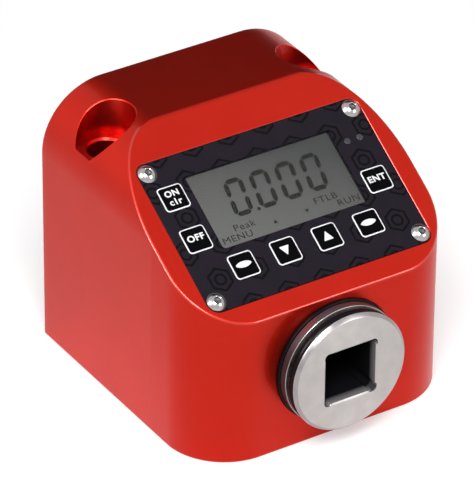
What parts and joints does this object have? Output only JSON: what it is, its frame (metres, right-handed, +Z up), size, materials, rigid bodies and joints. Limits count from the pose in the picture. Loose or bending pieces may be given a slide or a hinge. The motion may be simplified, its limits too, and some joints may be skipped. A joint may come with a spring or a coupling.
{
  "type": "torque tester",
  "caption": "Bench torque tester: machined block with a square drive socket, slanted display panel with keys and vertical counterbored bolt holes.",
  "frame": {"origin": "middle of the bounding box's footprint, on the underside that stands on the bench", "axes": "+Z up; -Y is the front, where the square drive points; +X to the right as seen from the front"},
  "size_m": [0.1, 0.11, 0.094],
  "materials": {
    "red_anodise": "red anodised, satin blasted",
    "steel_drive": "turned stainless, satin",
    "steel_screw": "polished stainless",
    "rubber": "black rubber",
    "overlay_film": "printed polyester film, dark grey",
    "key_film": "black with a white border and legend",
    "black_metal": "black anodised plate",
    "black_plastic": "moulded black plastic",
    "clear_window": "clear window",
    "lcd_grey": "grey display glass",
    "diffuser": "white diffuser",
    "board": "green circuit board",
    "chip": "black component packages",
    "bronze": "plain bearing bronze",
    "gauge_foil": "foil on amber film",
    "lamp_lens": "milky lens",
    "wire": "insulated wire",
    "wire_red": "insulated wire",
    "cell_wrap": "shrink-wrapped cell",
    "port_metal": "plated shell"
  },
  "bodies": {
    "body": {"housing": "red_anodise", "base_cover": "black_metal", "base_gasket": "rubber", "base_cover_screws": "steel_screw", "faceplate": "black_metal", "overlay": "overlay_film", "panel_screws": "steel_screw", "window_lens": "clear_window", "lcd_bezel": "black_plastic", "lcd_glass": "lcd_grey", "lcd_backlight": "diffuser", "display_board": "board", "display_chips": "chip", "keypad_board": "board", "snap_domes": "port_metal", "board_spacers": "steel_screw", "board_screws": "steel_screw", "indicator_lenses": "lamp_lens", "status_lamps": "diffuser", "transducer": "steel_drive", "drive_ring": "rubber", "front_bush": "bronze", "shaft_seal": "rubber", "strain_gauges": "gauge_foil", "transducer_screws": "steel_screw", "gauge_leads": "wire", "main_board": "board", "main_chips": "chip", "main_board_spacers": "steel_screw", "main_board_screws": "steel_screw", "display_ribbon": "wire", "battery_tray": "black_plastic", "battery_cells": "cell_wrap", "battery_contacts": "port_metal", "battery_leads": "wire_red", "battery_screws": "steel_screw", "rear_plate": "black_metal", "rear_plate_screws": "steel_screw", "charge_jack": "black_plastic", "data_port": "port_metal"},
    "key_on": {"key_on": "key_film"},
    "key_off": {"key_off": "key_film"},
    "key_enter": {"key_enter": "key_film"},
    "key_down": {"key_down": "key_film"},
    "key_up": {"key_up": "key_film"},
    "key_soft_left": {"key_soft_left": "key_film"},
    "key_soft_right": {"key_soft_right": "key_film"}
  },
  "joints": [
    {"name": "key_on_press", "type": "slide", "parent": "body", "child": "key_on", "axis": [0, 0.527, -0.8499], "range_m": [0, 0.0004], "stiffness_N_per_m": 1500},
    {"name": "key_off_press", "type": "slide", "parent": "body", "child": "key_off", "axis": [0, 0.527, -0.8499], "range_m": [0, 0.0004], "stiffness_N_per_m": 1500},
    {"name": "key_enter_press", "type": "slide", "parent": "body", "child": "key_enter", "axis": [0, 0.527, -0.8499], "range_m": [0, 0.0004], "stiffness_N_per_m": 1500},
    {"name": "key_down_press", "type": "slide", "parent": "body", "child": "key_down", "axis": [0, 0.527, -0.8499], "range_m": [0, 0.0004], "stiffness_N_per_m": 1500},
    {"name": "key_up_press", "type": "slide", "parent": "body", "child": "key_up", "axis": [0, 0.527, -0.8499], "range_m": [0, 0.0004], "stiffness_N_per_m": 1500},
    {"name": "key_soft_left_press", "type": "slide", "parent": "body", "child": "key_soft_left", "axis": [0, 0.527, -0.8499], "range_m": [0, 0.0004], "stiffness_N_per_m": 1500},
    {"name": "key_soft_right_press", "type": "slide", "parent": "body", "child": "key_soft_right", "axis": [0, 0.527, -0.8499], "range_m": [0, 0.0004], "stiffness_N_per_m": 1500}
  ]
}
